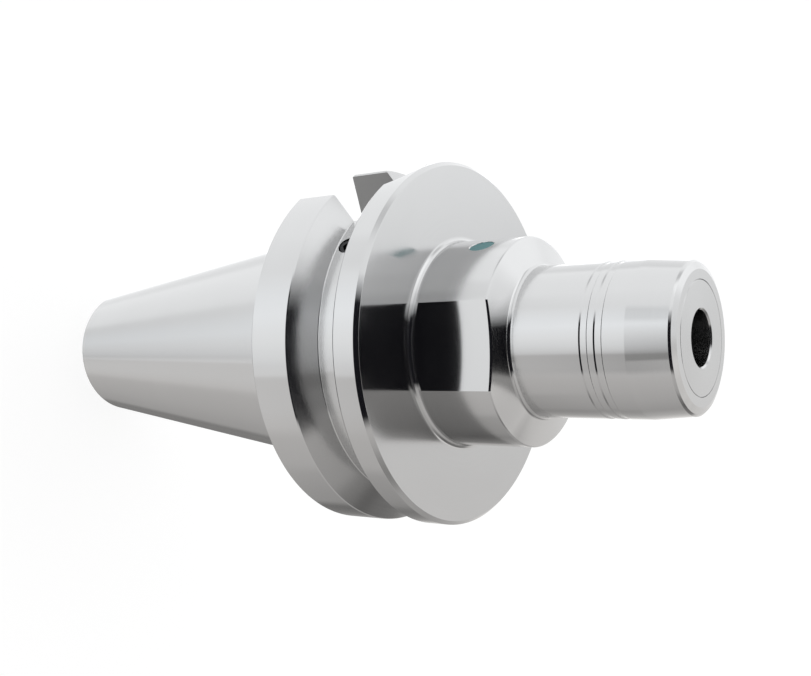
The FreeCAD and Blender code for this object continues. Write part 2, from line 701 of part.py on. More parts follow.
# Expansion sleeve
sleeve = new_body("expansion_sleeve")
turned(sleeve, "sleeve_form", [
    ("stop_bore_wall", "sleeve_back"),
    ("sleeve_radius", "sleeve_back"),
    ("sleeve_radius", "feed_back"),
    ("chamber_radius", "feed_back"),
    ("chamber_radius", "feed_front"),
    ("sleeve_radius", "feed_front"),
    ("sleeve_radius", "rear_chamber_back"),
    ("chamber_radius", "rear_chamber_back"),
    ("chamber_radius", "rear_chamber_front"),
    ("sleeve_radius", "rear_chamber_front"),
    ("sleeve_radius", "front_chamber_back"),
    ("chamber_radius", "front_chamber_back"),
    ("chamber_radius", "front_chamber_front"),
    ("sleeve_radius", "front_chamber_front"),
    ("sleeve_radius", "collar_back"),
    ("sleeve_collar_radius", "collar_back"),
    ("sleeve_collar_radius", "collar_break_height"),
    ("collar_break_radius", "nose_front"),
    ("tool_mouth_radius", "nose_front"),
    ("tool_radius", "tool_mouth_height"),
    ("tool_radius", "dirt_two_front"),
    ("dirt_radius", "dirt_two_front"),
    ("dirt_radius", "dirt_two_back"),
    ("tool_radius", "dirt_two_back"),
    ("tool_radius", "dirt_one_front"),
    ("dirt_radius", "dirt_one_front"),
    ("dirt_radius", "dirt_one_back"),
    ("tool_radius", "dirt_one_back"),
    ("tool_radius", "stop_top"),
    ("stop_bore_wall", "stop_top"),
])

# Oil link between the feed ring and the chambers
link = sleeve.newObject("PartDesign::SubtractiveBox", "oil_link")
link.AttachmentSupport = [(plane(sleeve, "XY_Plane"), "")]
link.MapMode = "FlatFace"
link.setExpression("Length", "Sizes.link_width")
link.setExpression("Width", "Sizes.link_width")
link.setExpression("Height", "Sizes.link_length")
rule = "placement(vector(Sizes.chamber_radius; -1 * Sizes.link_half; Sizes.link_start); rotation(0; 0; 0))"
link.setExpression("AttachmentOffset", rule)
before = sleeve.Shape.Volume
doc.recompute()
if sleeve.Shape.Volume > before - 5:
    raise RuntimeError("the oil link cuts nothing")

# Length stop screw
stop = new_body("stop_screw")
turned(stop, "stop_form", [
    (None, "stop_bottom"),
    ("stop_bottom_radius", "stop_bottom"),
    ("stop_thread_radius", "stop_bottom_edge"),
    ("stop_thread_radius", "stop_head_back"),
    ("stop_head_radius", "stop_head_back"),
    ("stop_head_radius", "stop_seal_back"),
    ("stop_seal_floor", "stop_seal_back"),
    ("stop_seal_floor", "stop_seal_front"),
    ("stop_head_radius", "stop_seal_front"),
    ("stop_head_radius", "stop_top_edge"),
    ("stop_head_edge_radius", "stop_top"),
    (None, "stop_top"),
])
hexagon(stop, "stop_socket", "stop_hex", "stop_hex_depth", "Sizes.stop_top")
drilled(stop, "stop_bore", "stop_bore_radius", "stop_bore_length", "0; 0; Sizes.stop_bore_start")


def seal_ring(name, centre, half_width, height):
    """An O-ring: a circle turned about the Z axis."""
    ring = new_body(name)
    sketch = sketch_on(ring, name + "_section", "XZ_Plane")
    middle_point = Vector(value(centre), value(height), 0)
    sketch.addGeometry(Part.Circle(middle_point, Vector(0, 0, 1), value(half_width)), False)
    rule_x = Sketcher.Constraint("DistanceX", -1, 1, 0, 3, middle_point.x)
    sketch.setExpression("Constraints[%d]" % sketch.addConstraint(rule_x), "Sizes." + centre)
    rule_y = Sketcher.Constraint("DistanceY", -1, 1, 0, 3, middle_point.y)
    sketch.setExpression("Constraints[%d]" % sketch.addConstraint(rule_y), "Sizes." + height)
    rule_r = Sketcher.Constraint("Radius", 0, value(half_width))
    sketch.setExpression("Constraints[%d]" % sketch.addConstraint(rule_r), "Sizes." + half_width)
    feature = ring.newObject("PartDesign::Revolution", name + "_form")
    feature.Profile = sketch
    feature.ReferenceAxis = (sketch, ["V_Axis"])
    feature.Angle = 360.0
    sketch.Visibility = False
    doc.recompute()
    return ring


# Seal ring of the stop screw, a little narrower than its groove
seal_ring("stop_screw_seal", "stop_ring_centre", "stop_ring_half", "stop_ring_middle")

# Piston, drawn with its pressure face at zero and placed along the cylinder
piston = new_body("pressure_piston")
turned(piston, "piston_form", [
    (None, None),
    ("piston_edge_radius", None),
    ("piston_radius", "piston_edge"),
    ("piston_radius", "piston_groove_start"),
    ("piston_seal_floor", "piston_groove_start"),
    ("piston_seal_floor", "piston_groove_end"),
    ("piston_radius", "piston_groove_end"),
    ("piston_radius", "piston_edge_end"),
    ("piston_edge_radius", "piston_length"),
    (None, "piston_length"),
])
place(piston, spot_press("Sizes.piston_front"), press, "90")

# Piston seal and backup ring, side by side in the piston groove
for name, start, end in (("piston_seal", "piston_groove_start", "seal_end"),
                         ("piston_backup_ring", "seal_end", "piston_groove_end")):
    ring = new_body(name)
    turned(ring, name + "_form", [
        ("seal_inner_radius", start),
        ("seal_radius", start),
        ("seal_radius", end),
        ("seal_inner_radius", end),
    ])
    place(ring, spot_press("Sizes.piston_front"), press, "90")

# Pressure screw with its socket at the outer end
screw = new_body("pressure_screw")
turned(screw, "pressure_screw_form", [
    (None, None),
    ("press_screw_tip_radius", None),
    ("press_screw_tip_radius", "press_screw_tip"),
    ("press_screw_edge_radius", "press_screw_tip"),
    ("press_screw_radius", "press_screw_rise"),
    ("press_screw_radius", "press_screw_top_edge"),
    ("press_screw_edge_radius", "press_screw_length"),
    (None, "press_screw_length"),
])
hexagon(screw, "pressure_socket", "press_hex", "press_hex_depth", "Sizes.press_screw_length")
place(screw, spot_press("Sizes.press_screw_back"), press, "90")

# Expander plug of the oil duct: a cup with a ball driven into it
cup = new_body("duct_plug_cup")
turned(cup, "cup_form", [
    (None, None),
    ("plug_radius", None),
    ("plug_radius", "plug_edge_height"),
    ("plug_edge_radius", "plug_length"),
    ("plug_cup_radius", "plug_length"),
    ("plug_cup_radius", "plug_floor"),
    (None, "plug_floor"),
])
place(cup, spot_out(duct, "Sizes.plug_seat", "Sizes.press_height"), duct, "90")
ball = new_body("duct_plug_ball")
sphere = ball.newObject("PartDesign::AdditiveSphere", "duct_ball_form")
sphere.AttachmentSupport = [(plane(ball, "XY_Plane"), "")]
sphere.MapMode = "FlatFace"
sphere.setExpression("Radius", "Sizes.plug_ball_radius")
sphere.setExpression("AttachmentOffset.Base.z", "Sizes.plug_ball_height")
place(ball, spot_out(duct, "Sizes.plug_seat", "Sizes.press_height"), duct, "90")

# Bleed ball, bleed screw and the coloured cap over it
bead = new_body("bleed_ball")
sphere = bead.newObject("PartDesign::AdditiveSphere", "bleed_ball_form")
sphere.AttachmentSupport = [(plane(bead, "XY_Plane"), "")]
sphere.MapMode = "FlatFace"
sphere.setExpression("Radius", "Sizes.bleed_ball_radius")
place(bead, spot_out(bleed, "Sizes.bleed_ball_centre", high), bleed, "90")


def set_screw(name, kind):
    """A headless screw of one kind, its tip at zero and its socket at the outer end."""
    grub = new_body(name)
    turned(grub, name + "_form", [
        (None, None),
        (kind + "_tip", None),
        (kind + "_radius", "screw_edge"),
        (kind + "_radius", kind + "_shoulder"),
        (kind + "_tip", kind + "_length"),
        (None, kind + "_length"),
    ])
    hexagon(grub, name + "_socket", kind + "_hex", kind + "_hex_depth", "Sizes." + kind + "_length")
    return grub


grub = set_screw("bleed_screw", "bleed_screw")
place(grub, spot_out(bleed, "Sizes.bleed_screw_start", high), bleed, "90")
cap = new_body("bleed_cap")
disc = cap.newObject("PartDesign::AdditiveCylinder", "cap_form")
disc.AttachmentSupport = [(plane(cap, "XY_Plane"), "")]
disc.MapMode = "FlatFace"
disc.setExpression("Radius", "Sizes.cap_radius")
disc.setExpression("Height", "Sizes.cap_length")
place(cap, spot_out(bleed, "Sizes.cap_seat", high), bleed, "90")

# Closing screws of the coolant ducts and of the inlets, two of each
closers = []
for letter, seat, angle, inlet in sides:
    closer = set_screw("duct_screw_" + letter, "coolant_screw")
    place(closer, seat + "; Sizes.coolant_seat_height", angle, "Sizes.coolant_out_pitch")
    closers.append(closer)
inlets = []
for letter, seat, angle, inlet in sides:
    closer = set_screw("inlet_screw_" + letter, "coolant_screw")
    place(closer, inlet + "; Sizes.inlet_seat", "0", "180")
    inlets.append(closer)
pairs = []
for name, members in (("coolant_duct_screws", closers), ("coolant_inlet_screws", inlets)):
    both = doc.addObject("Part::Compound", name)
    both.Label = name
    both.Links = members
    pairs.append(both)
doc.recompute()

# Every object is sound before anything is written
for item in doc.Objects:
    if "Invalid" in item.State or "Error" in item.State:
        raise RuntimeError("not computed: " + item.Name)
members = closers + inlets
nodes = [item for item in doc.Objects if item.TypeId == "PartDesign::Body" and item not in members]
nodes = nodes + pairs
for node in nodes:
    shape = node.Shape
    if shape.isNull() or not shape.isValid():
        raise RuntimeError("no sound shape: " + node.Label)
    shape.exportStep("parts/" + node.Label + ".step")
    print(node.Label, len(shape.Solids), round(shape.Volume / 1000.0, 3), "cm3")
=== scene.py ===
import math

import bmesh
import bpy
from mathutils import Matrix, Vector


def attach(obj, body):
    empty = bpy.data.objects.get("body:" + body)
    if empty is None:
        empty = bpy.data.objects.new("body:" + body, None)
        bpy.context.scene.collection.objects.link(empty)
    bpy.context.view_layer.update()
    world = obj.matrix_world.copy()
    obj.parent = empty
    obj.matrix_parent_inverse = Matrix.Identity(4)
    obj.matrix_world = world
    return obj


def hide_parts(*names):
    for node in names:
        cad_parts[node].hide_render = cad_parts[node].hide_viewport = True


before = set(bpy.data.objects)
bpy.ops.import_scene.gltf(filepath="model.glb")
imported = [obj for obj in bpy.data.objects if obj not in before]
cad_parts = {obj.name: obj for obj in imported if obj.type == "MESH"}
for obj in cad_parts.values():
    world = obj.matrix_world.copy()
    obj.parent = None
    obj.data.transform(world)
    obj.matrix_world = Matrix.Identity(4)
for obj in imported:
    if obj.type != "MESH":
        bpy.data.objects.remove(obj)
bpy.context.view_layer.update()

# Lengths below are written in millimetres
MM = 0.001

# Steep taper, gauge land and neck, with heights from the small end toward the nose
GAUGE = 101.8
GAUGE_RADIUS = 34.925
END_RADIUS = GAUGE_RADIUS - GAUGE * 7 / 48
END_BREAK = 1.0
END_BREAK_SPREAD = 0.146
END_ROUNDING = 0.15
GAUGE_ROUNDING = 0.6
GAUGE_LAND = 0.8
NECK_RELIEF = 0.525
NECK_RADIUS = GAUGE_RADIUS - NECK_RELIEF
RELIEF_ROUNDING = 0.1
NECK_FILLET = 0.4

# Flange with its V groove
FLANGE_RADIUS = 50.0
FLANGE_BACK = GAUGE + 3.0
FLANGE_FRONT = FLANGE_BACK + 35.0
BACK_RIM_BREAK = 1.2
BACK_RIM_ROUNDING = 0.15
FRONT_RIM_BREAK = 1.0
FRONT_RIM_ROUNDING = 0.12
GROOVE_DEPTH = 7.5
GROOVE_FLOOR = FLANGE_RADIUS - GROOVE_DEPTH
GROOVE_CENTRE = FLANGE_BACK + 20.2
GROOVE_HALF = 7.5
GROOVE_FLANK = GROOVE_DEPTH * math.tan(math.radians(30))
GROOVE_FILLET = 0.4
GROOVE_BREAK = 0.2
GROOVE_BREAK_DEPTH = 0.866 * GROOVE_BREAK
GROOVE_BREAK_ROUNDING = 0.03

# Drive slots
SLOT_HALF = 12.85
SLOT_FLOOR = NECK_RADIUS + 0.9
SLOT_END = FLANGE_FRONT - 2.0
SLOT_BREAK = 0.5

# Hub and the flat milled on it
HUB_RADIUS = 28.0
HUB_EDGE = FLANGE_FRONT + 22.2
HUB_FACE = HUB_EDGE + 2.6
HUB_BREAK = 0.3
HUB_BREAK_ROUNDING = 0.05
HUB_ROOT_FILLET = 1.6
FLAT_DISTANCE = HUB_RADIUS - 2.4
FLAT_START = FLANGE_FRONT + 1.8
FLAT_ANGLE = math.radians(-19.4)
FLAT_BREAK = 0.4

# Nose, whose front has a 45 degree break and then a shallow bevel
NOSE_FRONT = GAUGE + 105.0
NOSE_RADIUS = 20.0
NOSE_TAPER_START = NOSE_FRONT - 11.5
NOSE_TAPER_ROUNDING = 3.0
NOSE_TIP_RADIUS = NOSE_RADIUS - 0.95
NOSE_ROOT_FILLET = 1.3
NOSE_BREAK = 0.55
NOSE_BREAK_ROUNDING = 0.06
BEVEL_WIDTH = 1.7
BEVEL_DROP = 0.7
BEVEL_ROUNDING = 0.1

# The two rings turned into the nose
RING_WIDTH = 2.2
RING_DEPTH = 0.3
RING_GAP = 1.6
RING_INSET = 5.7
RING_ROUNDING = 0.04

# Room for the expansion sleeve, its collar and the stop screw, and the coolant channel behind them
PRESS_HEIGHT = HUB_EDGE - 9.7
COLLAR_RADIUS = 14.4
COLLAR_BACK = NOSE_FRONT - 4.0
SLEEVE_RADIUS = 10.0
SLEEVE_BACK = PRESS_HEIGHT - 6.0
STOP_RADIUS = 5.05
STOP_BACK = GAUGE + 26.5
CHANNEL_RADIUS = 4.0

# Pull stud hole with its pilot and its thread, M24 x 3
PILOT_RADIUS = 12.5
PILOT_DEPTH = 11.5
PILOT_BREAK = 1.0
STUD_DEPTH = 62.0
DRILL_TIP = 65.83
STUD_PITCH = 3.0
STUD_CREST = 10.38
STUD_ROOT = 12.0
THREAD_ROOM = 1.0
THREAD_RUN_OUT = 2.0
THREAD_FLANK = 0.94
FLANK_OUTER_EDGE = STUD_PITCH * 3 / 8
ROWS_A_TURN = 8

# Pressure cylinder, bored across the hub, with distances from its point beside the axis
PRESS_ANGLE = 163.8
PRESS_OFFSET = 17.5
PRESS_BLIND_END = -11.0
PISTON_RADIUS = 4.0
PRESS_SHOULDER = 1.0
PRESS_THREAD_RADIUS = 5.05
PRESS_SEAT = 15.9
PRESS_MOUTH_RADIUS = 5.6

# Hole of the duct's plug, and bleed bore with its ball, screw and cap, with distances from the axis
PLUG_SWING = 25
PLUG_SEAT = HUB_RADIUS - 4.2
PLUG_RADIUS = 2.52
BLEED_ANGLE = -86.8
BLEED_SEAT = HUB_RADIUS - 11.0
BLEED_BALL_RADIUS = 2.06
BLEED_THREAD_START = HUB_RADIUS - 8.2
BLEED_THREAD_RADIUS = 3.05
CAP_SEAT = HUB_RADIUS - 2.5
CAP_RADIUS = 3.32
CAP_BREAK_START = HUB_RADIUS - 0.25
CAP_BREAK_END = HUB_RADIUS + 0.35
CAP_MOUTH_RADIUS = 3.75

# Coolant ducts from the groove floor, and coolant inlets in the back of the flange
COOLANT_ANGLE = -58.9
COOLANT_TILT = math.radians(20.0)
COOLANT_RADIUS = 2.2
COOLANT_SCREW_RADIUS = 2.55
COOLANT_SEAT = -4.8
COOLANT_INNER_END = -20.0
COOLANT_OUTER_END = 2.6
INLET_REACH = 37.5
INLET_RADIUS = 2.0
INLET_DEPTH = 5.0
INLET_END = 17.0
INLET_BREAK = 0.3

# Cutters reach past what they cut
OVER_CUT = 1.0
SLOT_OVER_CUT = 3.0
PAST_FLANGE = 60.0
PAST_FLAT = 40.0
PAST_HUB = 30.0

# Length in which a bore's radius changes at a step
STEP = 0.01

# Numbers of points or spans in a full turn, a corner's arc, a slot's end, the flat's edge and a bore
AROUND = 320
CORNER_SPANS = 4
SLOT_SPANS = 32
FLAT_SPANS = 24
BORE_SPANS = 64

# Edges that turn by more than this many degrees stay sharp
CREASE = 20.0

# Directions of the photograph: across the axis toward the viewer, and across it upward
VIEW_ANGLE = math.radians(-22.1)
TO_VIEWER = Vector((math.cos(VIEW_ANGLE), math.sin(VIEW_ANGLE), 0.0))
UPWARD = Vector((math.sin(VIEW_ANGLE), -math.cos(VIEW_ANGLE), 0.0))

# Place of the camera in metres, and its directions to the right and behind it
CAMERA_PLACE = (0.23861, -0.09071, 0.29748)
CAMERA_RIGHT = Vector((-0.5287, 0.2246, 0.8186))
CAMERA_BACK = Vector((0.7609, -0.302, 0.5743))


def link(obj):
    bpy.context.scene.collection.objects.link(obj)
    return obj


def place_camera():
    """The photograph's viewing angle: the axis lies across the picture, nose to the right."""
    camera_data = bpy.data.cameras.new("camera")
    camera_data.sensor_width = 36.0
    camera_data.lens = 47.9
    camera_data.shift_x = 0.003
    camera_data.shift_y = 0.0242
    camera_data.clip_start = 0.01
    camera = link(bpy.data.objects.new("camera", camera_data))
    back = CAMERA_BACK.normalized()
    up = back.cross(CAMERA_RIGHT.normalized()).normalized()
    right = up.cross(back)
    turn = Matrix((right, up, back)).transposed().to_4x4()
    camera.matrix_world = Matrix.Translation(CAMERA_PLACE) @ turn
    bpy.context.scene.camera = camera


# Node helpers for the world and the materials


class Nodes:
    """Adds nodes to a tree and joins them with short calls."""

    def __init__(self, tree):
        self.tree = tree
        tree.nodes.clear()

    def add(self, kind, **settings):
        node = self.tree.nodes.new(kind)
        for name, setting in settings.items():
            setattr(node, name, setting)
        return node

    def wire(self, source, target):
        self.tree.links.new(source, target)

    def math(self, operation, *values):
        node = self.add("ShaderNodeMath", operation=operation)
        for socket, given in zip(node.inputs, values):
            if isinstance(given, (int, float)):
                socket.default_value = given
            else:
                self.wire(given, socket)
        return node.outputs[0]

    def product(self, *factors):
        result = factors[0]
        for factor in factors[1:]:
            result = self.math("MULTIPLY", result, factor)
        return result

    def spread(self, value, low, high, new_low, new_high):
        """Carries the span from low to high over to new_low and new_high, and stops at its ends."""
        node = self.add("ShaderNodeMapRange")
        self.wire(value, node.inputs["Value"])
        node.inputs["From Min"].default_value = low
        node.inputs["From Max"].default_value = high
        node.inputs["To Min"].default_value = new_low
        node.inputs["To Max"].default_value = new_high
        return node.outputs[0]

    def window(self, value, limits, softness):
        """One between two limits and zero outside them, with soft edges."""
        low, high = limits
        rise = self.spread(value, low - softness, low + softness, 0, 1)
        fall = self.spread(value, high - softness, high + softness, 1, 0)
        return self.product(rise, fall)

    def ramp(self, value, stops):
        """Colours at places from 0 to 1, joined smoothly."""
        node = self.add("ShaderNodeValToRGB")
        while len(node.color_ramp.elements) < len(stops):
            node.color_ramp.elements.new(0.5)
        for element, (place, colour) in zip(node.color_ramp.elements, stops):
            element.position = place
            element.color = (*colour, 1.0)
        self.wire(value, node.inputs[0])
        return node.outputs[0]

    def dot(self, first, second):
        node = self.add("ShaderNodeVectorMath", operation="DOT_PRODUCT")
        self.wire(first, node.inputs[0])
        node.inputs[1].default_value = second
        return node.outputs["Value"]

    def scaled(self, vector, scale):
        node = self.add("ShaderNodeVectorMath", operation="SCALE")
        if isinstance(vector, tuple):
            node.inputs[0].default_value = vector
        else:
            self.wire(vector, node.inputs[0])
        self.wire(scale, node.inputs["Scale"])
        return node.outputs[0]

    def mix(self, factor, first, second):
        """The first colour where the factor is zero and the second, a plain one, where it is one."""
        node = self.add("ShaderNodeMix", data_type="RGBA")
        self.wire(factor, node.inputs["Factor"])
        self.wire(first, node.inputs["A"])
        node.inputs["B"].default_value = (*second, 1)
        return node.outputs["Result"]

    def noise(self, vector, scale, detail):
        node = self.add("ShaderNodeTexNoise")
        node.inputs["Scale"].default_value = scale
        node.inputs["Detail"].default_value = detail
        self.wire(vector, node.inputs["Vector"])
        return node.outputs["Fac"]

    def bump(self, height, strength, distance):
        node = self.add("ShaderNodeBump")
        node.inputs["Strength"].default_value = strength
        node.inputs["Distance"].default_value = distance
        self.wire(height, node.inputs["Height"])
        return node.outputs[0]


# Surroundings of the polished steel, by the angle round the axis in degrees: 0 is toward the viewer
# and 90 is up. Each stop has a brightness and a tint, above zero for warm and below for cool.
SURROUND = [
    (-180, 0.96, 0.0), (-173, 0.86, 0.01), (-158, 0.86, 0.02), (-140, 0.62, 0.02), (-122, 0.49, 0.02),
    (-95, 0.6, 0.02), (-60, 0.7, 0.02), (-42, 0.76, 0.01), (-21.5, 0.76, 0.01), (-19.5, 0.95, 0.0),
    (-8, 1.15, -0.01), (3, 1.26, -0.01), (20, 1.37, -0.02), (32, 1.33, -0.02), (50, 1.22, -0.01),
    (75, 1.29, -0.01), (110, 1.31, -0.01), (150, 1.36, -0.01), (168, 1.25, -0.01), (173, 1.08, -0.01),
    (180, 0.96, 0.0),
]

# Lighter and darker places in them: the limits round the axis in degrees, the limits along it, where
# -1 is straight past the small end and 1 past the nose, the turn of the place with each unit along
# the axis, and the factor
PLACES = [
    # Away from the viewer and down, toward the small end
    ((170, 206), (-0.95, -0.3), 35, 1.3),
    ((184, 230), (-0.92, -0.56), 0, 0.42),
    ((205, 272), (-0.64, -0.46), 0, 0.8),
    ((202, 236), (-0.6, -0.36), 0, 0.78),
    ((192, 212), (-0.85, -0.65), 0, 0.68),
    # Away from the viewer and down, toward the nose
    ((187, 203), (0.15, 0.5), 85, 0.35),
    ((197, 208), (0.5, 1.1), 0, 1.28),
    ((208, 238), (0.46, 0.6), 0, 0.5),
    ((238, 316), (0.46, 0.62), 0, 0.52),
    # Toward the viewer and down, toward the small end
    ((300, 342), (-1.1, -0.63), 0, 1.17),
    ((312, 342), (-0.42, -0.18), 0, 0.7),
    # Toward the viewer and up, toward the small end
    ((-17, 60), (-1.1, -0.82), 0, 0.86),
    ((-25, 60), (-1.1, -0.92), 0, 0.88),
    ((25, 45), (-0.35, -0.15), 0, 0.8),
    ((48, 70), (-0.6, -0.5), 0, 0.87),
    # Up, toward the small end
    ((60, 118), (-1.1, -0.85), 0, 0.94),
    # Away from the viewer and up, toward the small end
    ((118, 152), (-1.1, -0.7), 0, 0.83),
    ((122, 152), (-0.5, -0.2), 0, 0.82),
    # Up, toward the nose
    ((38, 136), (0.45, 0.6), 0, 0.66),
    ((34, 58), (0.45, 0.6), 0, 0.75),
    ((45, 90), (0.88, 1.1), 0, 0.72),
    ((92, 138), (0.6, 1.1), 0, 1.17),
    # Away from the viewer and up, toward the nose
    ((138, 158), (0.3, 0.72), 0, 1.08),
    ((146, 170), (0.76, 1.1), 0, 0.84),
]
PLACE_SOFT_ROUND = 4
PLACE_SOFT_ALONG = 0.04

# The dark straight past the small end: where it starts, where it ends and its level
END_DARK = (-0.995, -0.955)
END_LEVEL = 0.05

# The dark room behind the camera, open toward the nose, in degrees: its limits across, then its
# lower and upper edge, each with its slope and its softness
DARK_ACROSS = (6, 89)
DARK_ACROSS_SOFT = 2
DARK_LOW = (-47, 0.19, 3)
DARK_HIGH = (40, -0.26, 7)
DARK_COLOUR = (0.011, 0.011, 0.014)

# The dimmer surround beside that opening, with a plain edge below
FRAME_ACROSS = (-16, 20)
FRAME_ACROSS_SOFT = 8
FRAME_FOOT = -31
FRAME_FOOT_SOFT = 3
FRAME_TOP = 24
FRAME_FACTOR = 0.42


def place_factor(nodes, turn, along, place):
    """One outside a lighter or darker place and its factor inside it."""
    turns, limits, slope, factor = place
    middle = sum(turns) / 2
    half = (turns[1] - turns[0]) / 2
    slanting = nodes.math("SUBTRACT", turn, nodes.product(along, slope))
    beside = nodes.math("WRAP", nodes.math("SUBTRACT", slanting, middle), 180, -180)
    round_axis = nodes.window(beside, (-half, half), PLACE_SOFT_ROUND)
    along_axis = nodes.window(along, limits, PLACE_SOFT_ALONG)
    return nodes.spread(nodes.product(round_axis, along_axis), 0, 1, 1, factor)


def frame_factor(nodes, across, height):
    """One outside the dimmer surround beside the opening and its factor inside it."""
    foot = nodes.spread(height, FRAME_FOOT, FRAME_FOOT + FRAME_FOOT_SOFT, 0, 1)
    fade = nodes.spread(height, FRAME_FOOT, FRAME_TOP, 1, 0)
    inside = nodes.product(foot, fade, nodes.window(across, FRAME_ACROSS, FRAME_ACROSS_SOFT))
    return nodes.spread(inside, 0, 1, 1, FRAME_FACTOR)


def room_opening(nodes, across, height):
    """One inside the opening of the dark room and zero outside it."""
    opening = nodes.window(across, DARK_ACROSS, DARK_ACROSS_SOFT)
    for (edge, slope, softness), above in ((DARK_LOW, 1), (DARK_HIGH, 0)):
        past = nodes.math("SUBTRACT", height, nodes.product(across, slope))
        part = nodes.spread(past, edge - softness, edge + softness, 1 - above, above)
        opening = nodes.product(opening, part)
    return opening


def surround_colour(nodes, direction):
    """What the steel mirrors in a direction, a vector of length one."""
    near = nodes.dot(direction, TO_VIEWER)
    rise = nodes.dot(direction, UPWARD)
    along = nodes.dot(direction, (0.0, 0.0, 1.0))
    turn = nodes.math("DEGREES", nodes.math("ARCTAN2", rise, near))
    across = nodes.math("DEGREES", nodes.math("ARCTAN2", along, near))
    height = nodes.math("DEGREES", nodes.math("ARCSINE", rise))
    stops = []
    for angle, level, warmth in SURROUND:
        stops.append((angle / 360 + 0.5, (level * (1 + warmth), level, level * (1 - warmth))))
    ring = nodes.ramp(nodes.spread(turn, -180, 180, 0, 1), stops)
    factors = [nodes.spread(along, *END_DARK, END_LEVEL, 1.0)]
    factors += [place_factor(nodes, turn, along, place) for place in PLACES]
    factors.append(frame_factor(nodes, across, height))
    light = nodes.scaled(ring, nodes.product(*factors))
    return nodes.mix(room_opening(nodes, across, height), light, DARK_COLOUR)


def light_world():
    """The surroundings, with white in their place wherever the camera sees them itself."""
    world = bpy.data.worlds.new("studio")
    world.use_nodes = True
    nodes = Nodes(world.node_tree)
    spot = nodes.add("ShaderNodeTexCoord")
    colour = surround_colour(nodes, spot.outputs["Generated"])
    path = nodes.add("ShaderNodeLightPath")
    white = nodes.math("MAXIMUM", path.outputs["Is Camera Ray"], path.outputs["Is Transmission Ray"])
    sky = nodes.add("ShaderNodeBackground")
    nodes.wire(nodes.mix(white, colour, (1, 1, 1)), sky.inputs["Color"])
    out = nodes.add("ShaderNodeOutputWorld")
    nodes.wire(sky.outputs[0], out.inputs[0])
    bpy.context.scene.world = world


# The floor's half width and its height in metres, its own tone and the light that lifts it to white
FLOOR_HALF = 3.0
FLOOR_HEIGHT = -0.0005
FLOOR_TONE = (0.2, 0.2, 0.2, 1)
FLOOR_LIFT = 0.885


def floor_material():
    material = bpy.data.materials.new("floor")
    material.use_nodes = True
    nodes = Nodes(material.node_tree)
    pale = nodes.add("ShaderNodeBsdfDiffuse")
    pale.inputs["Color"].default_value = FLOOR_TONE
    lift = nodes.add("ShaderNodeEmission")
    lift.inputs["Strength"].default_value = FLOOR_LIFT
    seen = nodes.add("ShaderNodeAddShader")
    nodes.wire(pale.outputs[0], seen.inputs[0])
    nodes.wire(lift.outputs[0], seen.inputs[1])
    path = nodes.add("ShaderNodeLightPath")
    clear = nodes.add("ShaderNodeBsdfTransparent")
    mix = nodes.add("ShaderNodeMixShader")
    nodes.wire(path.outputs["Is Glossy Ray"], mix.inputs[0])
    nodes.wire(seen.outputs[0], mix.inputs[1])
    nodes.wire(clear.outputs[0], mix.inputs[2])
    out = nodes.add("ShaderNodeOutputMaterial")
    nodes.wire(mix.outputs[0], out.inputs[0])
    return material


def lay_floor():
    """A pale floor at the foot of the taper. It shows white, with a trace of the shadow.

    The steel's reflections pass through it to the surroundings, which hold the floor's tone too.
    """
    mesh = bpy.data.meshes.new("floor")
    half = FLOOR_HALF
    corners = [(-half, -half, 0), (half, -half, 0), (half, half, 0), (-half, half, 0)]
    mesh.from_pydata(corners, [], [(0, 1, 2, 3)])
    mesh.materials.append(floor_material())
    floor = link(bpy.data.objects.new("floor", mesh))
    floor.location.z = FLOOR_HEIGHT


# Materials

# A quarter turn, so that reflections spread across the rings and not along them
ACROSS_THE_RINGS = 0.25

# Sizes of the patterns in the steel: soft clouds, fine turned rings, and the grain of milled steel
CLOUD_SCALE = 60.0
RING_SCALE = 2600.0
GRAIN_SCALE = 3000.0

# The middle part of a noise, which holds nearly all of its values
NOISE_LOW = 0.3
NOISE_HIGH = 0.7

# The shares by which roughness and tone vary across bare steel
ROUGHNESS_PLAY = 0.15
TONE_PLAY = 0.015

# Depth in metres of the marks in bare steel
MARK_DEPTH = 0.00002

# The grain of coated pieces: its size, its bump in metres and its strength, and how far it lowers
# and raises the roughness and the share by which it varies the tone
COAT_SCALE = 1500.0
COAT_DEPTH = 0.00003
COAT_STRENGTH = 0.2
COAT_SMOOTHER = 0.06
COAT_ROUGHER = 0.08
COAT_TONE_PLAY = 0.1


def start_material(name, metallic):
    """The material of this name, a new one unless the solids have it, with a fresh shader."""
    material = bpy.data.materials.get(name) or bpy.data.materials.new(name)
    material.use_nodes = True
    nodes = Nodes(material.node_tree)
    shader = nodes.add("ShaderNodeBsdfPrincipled")
    shader.inputs["Metallic"].default_value = metallic
    out = nodes.add("ShaderNodeOutputMaterial")
    nodes.wire(shader.outputs[0], out.inputs[0])
    return material, nodes, shader


def ring_position(nodes, spot):
    """A position that is the same all round the axis: the radius and the height."""
    parts = nodes.add("ShaderNodeSeparateXYZ")
    nodes.wire(spot, parts.inputs[0])
    squares = [nodes.math("POWER", parts.outputs[axis], 2.0) for axis in ("X", "Y")]
    rings = nodes.add("ShaderNodeCombineXYZ")
    nodes.wire(nodes.math("SQRT", nodes.math("ADD", *squares)), rings.inputs[0])
    nodes.wire(parts.outputs["Z"], rings.inputs[1])
    return rings.outputs[0]


